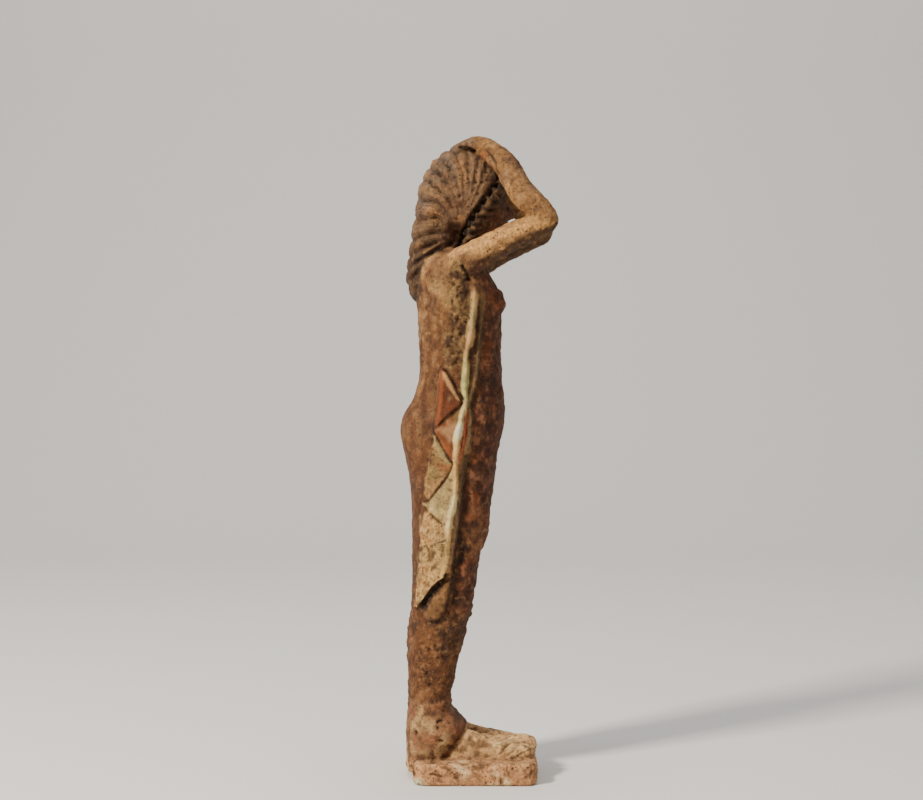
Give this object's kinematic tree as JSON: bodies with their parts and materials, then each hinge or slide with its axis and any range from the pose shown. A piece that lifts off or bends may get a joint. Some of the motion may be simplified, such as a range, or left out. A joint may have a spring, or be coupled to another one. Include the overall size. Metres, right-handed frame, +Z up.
{
  "type": "terracotta statuette",
  "caption": "Standing robed figure with both hands raised to the head, long waved hair and a folded mantle at each side, on a low slab plinth.",
  "frame": {"origin": "middle of the plinth's underside", "axes": "+Z up, the figure faces -Y, its right side is -X"},
  "size_m": [0.055, 0.0613, 0.253],
  "materials": {
    "terracotta": "matte, earthy surface with worn red, cream and pale green paint"
  },
  "bodies": {
    "root": {"statuette": "terracotta"}
  },
  "joints": []
}
